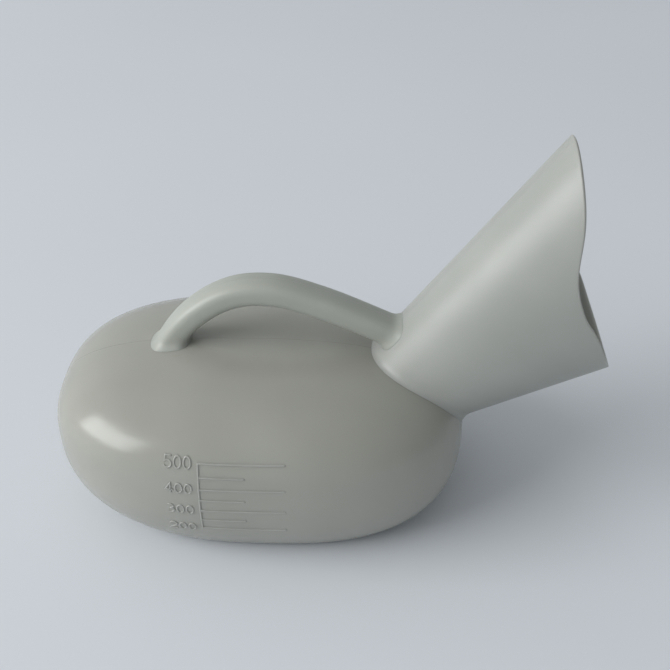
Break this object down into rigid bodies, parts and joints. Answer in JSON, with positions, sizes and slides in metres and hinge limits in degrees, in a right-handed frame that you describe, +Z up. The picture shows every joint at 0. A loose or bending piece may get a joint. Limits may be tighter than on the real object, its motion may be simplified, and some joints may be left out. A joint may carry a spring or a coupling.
{
  "type": "urine bottle",
  "caption": "Oval hollow urine bottle with a wide flared spout cut off slantwise, an arched carrying handle and a raised millilitre scale.",
  "frame": {"origin": "middle of the flat base, on the surface that the bottle stands on", "axes": "+X along the bottle towards the spout, +Y across it away from the scale, +Z up"},
  "size_m": [0.2114, 0.115, 0.1507],
  "materials": {
    "body_plastic": "milky translucent polyethylene, satin",
    "spout_plastic": "milky translucent polyethylene, satin",
    "handle_plastic": "milky translucent polyethylene, satin",
    "mark_plastic": "raised moulding in the body's plastic, satin"
  },
  "bodies": {
    "root": {"bottle_body": "body_plastic", "spout": "spout_plastic", "carry_handle": "handle_plastic", "scale_spine": "mark_plastic", "scale_line_200": "mark_plastic", "scale_line_250": "mark_plastic", "scale_line_300": "mark_plastic", "scale_line_350": "mark_plastic", "scale_line_400": "mark_plastic", "scale_line_450": "mark_plastic", "scale_line_500": "mark_plastic", "scale_200_digit_1": "mark_plastic", "scale_200_digit_2": "mark_plastic", "scale_200_digit_3": "mark_plastic", "scale_300_digit_1": "mark_plastic", "scale_300_digit_2": "mark_plastic", "scale_300_digit_3": "mark_plastic", "scale_400_digit_1": "mark_plastic", "scale_400_digit_2": "mark_plastic", "scale_400_digit_3": "mark_plastic", "scale_500_digit_1": "mark_plastic", "scale_500_digit_2": "mark_plastic", "scale_500_digit_3": "mark_plastic"}
  },
  "joints": []
}
